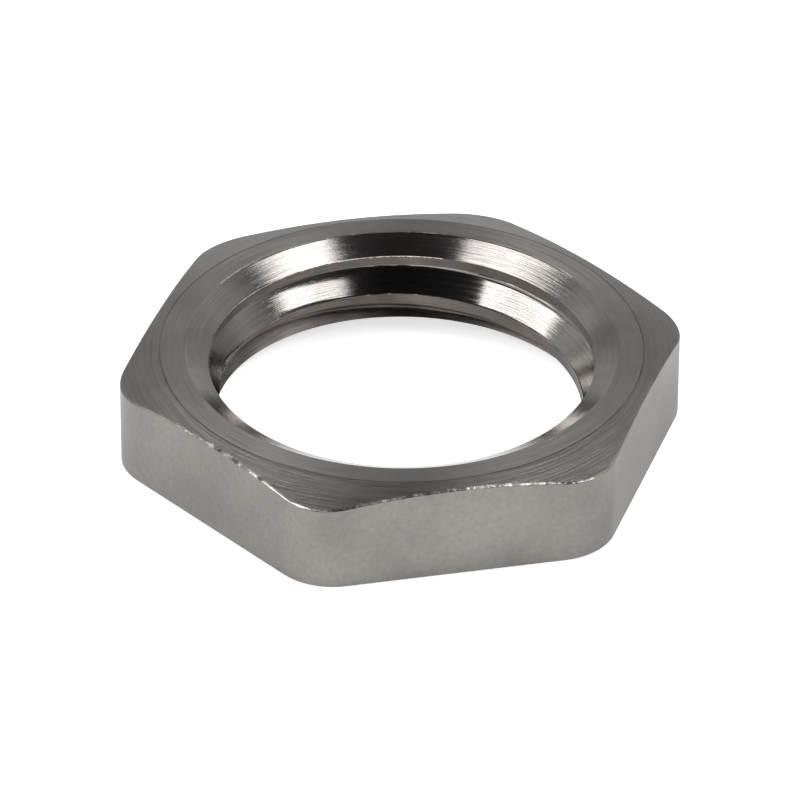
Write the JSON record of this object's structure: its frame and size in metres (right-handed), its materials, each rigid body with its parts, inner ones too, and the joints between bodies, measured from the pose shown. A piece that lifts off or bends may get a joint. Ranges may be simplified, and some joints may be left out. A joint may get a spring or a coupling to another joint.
{
  "type": "thin hexagonal locknut",
  "caption": "Thin hexagonal locknut with rounded corners, a turned chamfer on one face and a fine-threaded bore with a lead-in at each end.",
  "frame": {"origin": "on the thread's axis, in the plane of the flat face that the nut lies on", "axes": "+Z along the thread axis, from the flat face to the chamfered face; +X through one corner of the hexagon; +Y through the middle of one flat"},
  "size_m": [0.0168, 0.015, 0.003],
  "materials": {
    "nickel_plated_brass": "turned brass under bright nickel plating, a warm grey, with lathe marks"
  },
  "bodies": {
    "root": {"locknut": "nickel_plated_brass"}
  },
  "joints": []
}
